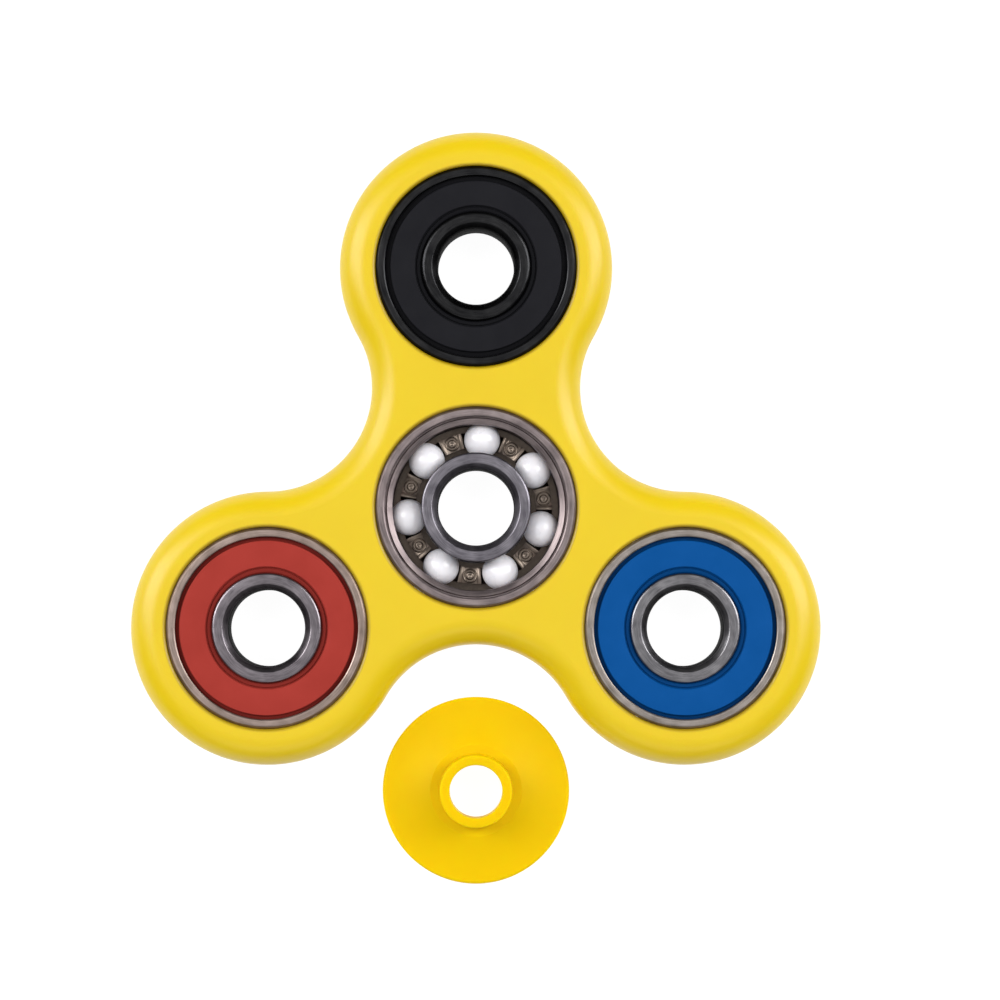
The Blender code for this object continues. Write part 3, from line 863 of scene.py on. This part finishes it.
def press_cage(name, first_pad, width, thickness, pitch_radius):
    """Bend one pitch of the strip station by station, then repeat it round the bearing."""
    half_pitch = math.pi * pitch_radius / BALL_COUNT
    stations = cage_stations(half_pitch)
    angle = first_pad + stations[0][0] / pitch_radius
    inside = pitch_radius - width / 2
    piece = start_point(name, (inside * math.cos(angle), inside * math.sin(angle), stations[0][1]))
    bpy.ops.mesh.extrude_region_move(TRANSFORM_OT_translate={
        "value": (width * math.cos(angle), width * math.sin(angle), 0)})
    pick(piece, "EDGE", lambda edge: True)
    for before, after in zip(stations, stations[1:]):
        sweep(math.degrees((after[0] - before[0]) / pitch_radius), 1)
        bpy.ops.transform.translate(value=(0, 0, after[1] - before[1]))
    bpy.ops.mesh.select_all(action="SELECT")
    sweep(FULL_TURN, BALL_COUNT, dupli=True)
    close_mesh()
    bpy.ops.object.mode_set(mode="OBJECT")
    apply_modifier(piece, "strip", "SOLIDIFY", thickness=thickness, offset=0.0)
    apply_modifier(piece, "edges", "BEVEL", width=0.05 * MM, segments=2, limit_method="ANGLE",
                   angle_limit=math.radians(50))
    shade(piece, 50)
    return piece


def rivet_section():
    """Closed rivet: a dimpled round head in a pressed collar, and a shank with a smaller head."""
    pad = MID_HEIGHT + 0.225 * MM
    back = MID_HEIGHT - 0.025 * MM
    return [
        (0, pad + 0.12 * MM), (0.10 * MM, pad + 0.13 * MM), (0.17 * MM, pad + 0.19 * MM),
        (0.28 * MM, pad + 0.21 * MM), (0.38 * MM, pad + 0.18 * MM), (0.46 * MM, pad + 0.10 * MM),
        (0.49 * MM, pad + 0.01 * MM), (0.60 * MM, pad + 0.01 * MM), (0.64 * MM, pad + 0.07 * MM),
        (0.70 * MM, pad + 0.09 * MM), (0.78 * MM, pad + 0.05 * MM), (0.82 * MM, pad - 0.02 * MM),
        (0.28 * MM, pad - 0.02 * MM), (0.28 * MM, back), (0.48 * MM, back - 0.01 * MM),
        (0.45 * MM, back - 0.12 * MM), (0.30 * MM, back - 0.20 * MM), (0, back - 0.22 * MM),
    ]


def ball_angle(k):
    """Angle of one white ball about the centre bearing's axis."""
    x, y = node_centre(f"centre_ball_{k}")[:2]
    return math.atan2(y, x)


class SPINNER_OT_cage(Operator):
    """Press the open bearing's cage and close a rivet on each of its pads"""
    bl_idname = "spinner.cage"
    bl_label = "Cage and rivets"

    def execute(self, context):
        sizes = context.scene.spinner_bearings
        steel = pressed_steel("pressed steel strip")
        first_pad = ball_angle(1) - math.pi / BALL_COUNT
        piece = press_cage("cage_strip", first_pad, 1.75 * MM, 0.25 * MM, sizes.pitch_radius)
        finish_piece(piece, steel, "centre_roller_set", "cage_steel", "centre_cage")
        pattern = turn("rivet_pattern", rivet_section(), 32, closed=False)
        for k in range(1, BALL_COUNT + 1):
            node = f"centre_rivet_{k}"
            rivet = copy_piece(pattern, f"cage_rivet_{k}", (*node_centre(node)[:2], 0))
            shade(rivet, 40)
            finish_piece(rivet, steel, "centre_roller_set", "cage_steel", node)
        delete_piece(pattern)
        return {"FINISHED"}


def lap_ball():
    """A ball from a cube: subdivided, then cast to a sphere, so that it has no poles."""
    clear_selection()
    radius = node_radius("centre_ball_1")
    bpy.ops.mesh.primitive_cube_add(size=2 * radius, location=(0, 0, 0))
    piece = bpy.context.object
    bpy.ops.object.mode_set(mode="EDIT")
    bpy.ops.mesh.select_all(action="SELECT")
    bpy.ops.mesh.subdivide(number_cuts=23)
    bpy.ops.object.mode_set(mode="OBJECT")
    apply_modifier(piece, "round", "CAST", cast_type="SPHERE", factor=1.0, size=radius,
                   use_radius_as_size=False)
    return piece


def shield_section(sizes):
    """Pressed shield, drawn for the front: a flat disc, a raised rim and a curl in the groove."""
    top = THICKNESS - 0.60 * MM
    hole = sizes.inner_land + sizes.lip_gap
    return rounded([
        (hole, top - 0.28 * MM, 0.06 * MM), (hole, top, 0.12 * MM),
        (9.15 * MM, top, 0.08 * MM), (9.36 * MM, top + 0.26 * MM, 0.10 * MM),
        (9.80 * MM, top + 0.26 * MM, 0.15 * MM), (9.98 * MM, top - 0.04 * MM, 0.04 * MM),
        (9.98 * MM, top - 0.18 * MM, 0.04 * MM), (9.60 * MM, top - 0.21 * MM, 0.05 * MM),
    ])


class SPINNER_OT_shield(Operator):
    """Press the thin shield that closes the open bearing at the rear"""
    bl_idname = "spinner.shield"
    bl_label = "Rear shield"

    def execute(self, context):
        sizes = context.scene.spinner_bearings
        pattern = turn("shield_pattern", shield_section(sizes), sizes.steps)
        piece = copy_piece(pattern, "rear_shield_pressing", (*PLACES["centre"], 0), flip=True)
        delete_piece(pattern)
        shade(piece)
        finish_piece(piece, pressed_steel("pressed shield steel"), "spinner", "cage_steel",
                     "centre_rear_shield")
        return {"FINISHED"}


class SPINNER_OT_balls(Operator):
    """Lap the seven white ceramic balls of the open bearing"""
    bl_idname = "spinner.balls"
    bl_label = "Ceramic balls"

    def execute(self, context):
        ceramic = zirconia_ceramic("polished zirconia ceramic")
        pattern = lap_ball()
        for k in range(1, BALL_COUNT + 1):
            node = f"centre_ball_{k}"
            piece = copy_piece(pattern, f"ceramic_ball_{k}", node_centre(node))
            shade(piece)
            finish_piece(piece, ceramic, f"centre_rolling_ball_{k}", "white_zirconia", node)
        delete_piece(pattern)
        return {"FINISHED"}


class SPINNER_OT_hidden_parts(Operator):
    """Give the closed bearings' cages and balls their steels"""
    bl_idname = "spinner.hidden_parts"
    bl_label = "Parts inside the closed bearings"

    def execute(self, context):
        strip = pressed_steel("pressed steel strip, closed bearings")
        chrome = polished_ball_steel("lapped chrome steel")
        for name in CLOSED_BEARINGS:
            for node in [name + "_cage"] + [f"{name}_ball_{k}" for k in range(1, BALL_COUNT + 1)]:
                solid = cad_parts[node]
                steel = strip if node.endswith("cage") else chrome
                for material_slot in solid.material_slots:
                    material_slot.material = steel
        return {"FINISHED"}


# Stage


def add_softbox(name, place, size, power):
    """An area light aimed at the spinner's middle."""
    clear_selection()
    bpy.ops.object.light_add(type="AREA", location=place)
    light = bpy.context.object
    light.name = name
    light.data.shape = "RECTANGLE"
    light.data.size, light.data.size_y = size
    light.data.energy = power
    aim = (-light.location).to_track_quat("-Z", "Y")
    light.rotation_euler = aim.to_euler()


def add_floor():
    """Lay the lit sheet just under the spinner."""
    clear_selection()
    bpy.ops.mesh.primitive_plane_add(size=4.0, location=(0, 0, -0.02 * MM))
    floor = bpy.context.object
    floor.name = "floor"
    floor.data.materials.append(lit_white_sheet("lit opal sheet"))


def add_camera():
    """Nearly overhead, a little in front of the middle, as for a flat lay."""
    aim = Vector(CAMERA_AIM)
    place = Vector(CAMERA_PLACE)
    back = (place - aim).normalized()
    right = Vector((0, 1, 0)).cross(back).normalized()
    turned = Matrix((right, back.cross(right), back)).transposed()
    clear_selection()
    bpy.ops.object.camera_add(location=place, rotation=turned.to_euler())
    camera = bpy.context.object
    camera.name = "overhead_camera"
    camera.data.lens = CAMERA_LENS
    camera.data.sensor_width = CAMERA_SENSOR
    camera.data.clip_start = 0.01
    bpy.context.scene.camera = camera


def light_ceiling(tree, background):
    """World light of a dark studio under a pale ceiling: brightest straight overhead."""
    direction = add_node(tree, "ShaderNodeTexCoord").outputs["Generated"]
    height = add_node(tree, "ShaderNodeSeparateXYZ", links={"Vector": direction}).outputs["Z"]
    ceiling = add_node(tree, "ShaderNodeMapRange", {
        "interpolation_type": "SMOOTHSTEP", "From Min": 0.70, "From Max": 1.0,
        "To Min": 0.12, "To Max": 0.75}, {"Value": height})
    tree.links.new(ceiling.outputs["Result"], background.inputs["Strength"])
    background.inputs["Color"].default_value = (1, 1, 1, 1)


class SPINNER_OT_stage(Operator):
    """Lay a light table under the spinner, and set the softboxes and the camera"""
    bl_idname = "spinner.stage"
    bl_label = "Stage"

    def execute(self, context):
        scene = context.scene
        scene.view_settings.view_transform = "Standard"
        world = scene.world or bpy.data.worlds.new("studio")
        scene.world = world
        world.use_nodes = True
        background = world.node_tree.nodes["Background"]
        light_ceiling(world.node_tree, background)
        add_floor()
        for name, side in (("left_softbox", -1), ("right_softbox", 1)):
            add_softbox(name, (0.53 * side, 0.19, 0.45), size=(0.3, 0.7), power=4.3)
        add_softbox("front_fill", (0, -0.52, 0.42), size=(0.7, 0.3), power=0.7)
        add_camera()
        return {"FINISHED"}


STEPS = (SPINNER_OT_body, SPINNER_OT_cap, SPINNER_OT_rings, SPINNER_OT_seals, SPINNER_OT_cage,
         SPINNER_OT_shield, SPINNER_OT_balls, SPINNER_OT_hidden_parts, SPINNER_OT_stage)
SETTINGS = (SpinnerBodySizes, SpinnerBearingSizes, SpinnerColours)


class SPINNER_PT_panel(Panel):
    bl_label = "Fidget spinner"
    bl_idname = "SPINNER_PT_panel"
    bl_space_type = "VIEW_3D"
    bl_region_type = "UI"
    bl_category = "Spinner"

    def draw(self, context):
        layout = self.layout
        for settings in (context.scene.spinner_body, context.scene.spinner_bearings,
                         context.scene.spinner_colours):
            box = layout.box()
            for key in settings.bl_rna.properties.keys():
                if key not in ("rna_type", "name"):
                    box.prop(settings, key)
        for step in STEPS:
            layout.operator(step.bl_idname)


def register():
    for cls in SETTINGS + STEPS + (SPINNER_PT_panel,):
        bpy.utils.register_class(cls)
    bpy.types.Scene.spinner_body = PointerProperty(type=SpinnerBodySizes)
    bpy.types.Scene.spinner_bearings = PointerProperty(type=SpinnerBearingSizes)
    bpy.types.Scene.spinner_colours = PointerProperty(type=SpinnerColours)


def unregister():
    del bpy.types.Scene.spinner_colours
    del bpy.types.Scene.spinner_bearings
    del bpy.types.Scene.spinner_body
    for cls in reversed(SETTINGS + STEPS + (SPINNER_PT_panel,)):
        bpy.utils.unregister_class(cls)


def main():
    register()
    bpy.ops.spinner.body()
    bpy.ops.spinner.cap()
    bpy.ops.spinner.rings()
    bpy.ops.spinner.seals()
    bpy.ops.spinner.cage()
    bpy.ops.spinner.shield()
    bpy.ops.spinner.balls()
    bpy.ops.spinner.hidden_parts()
    bpy.ops.spinner.stage()


if __name__ == "__main__":
    main()
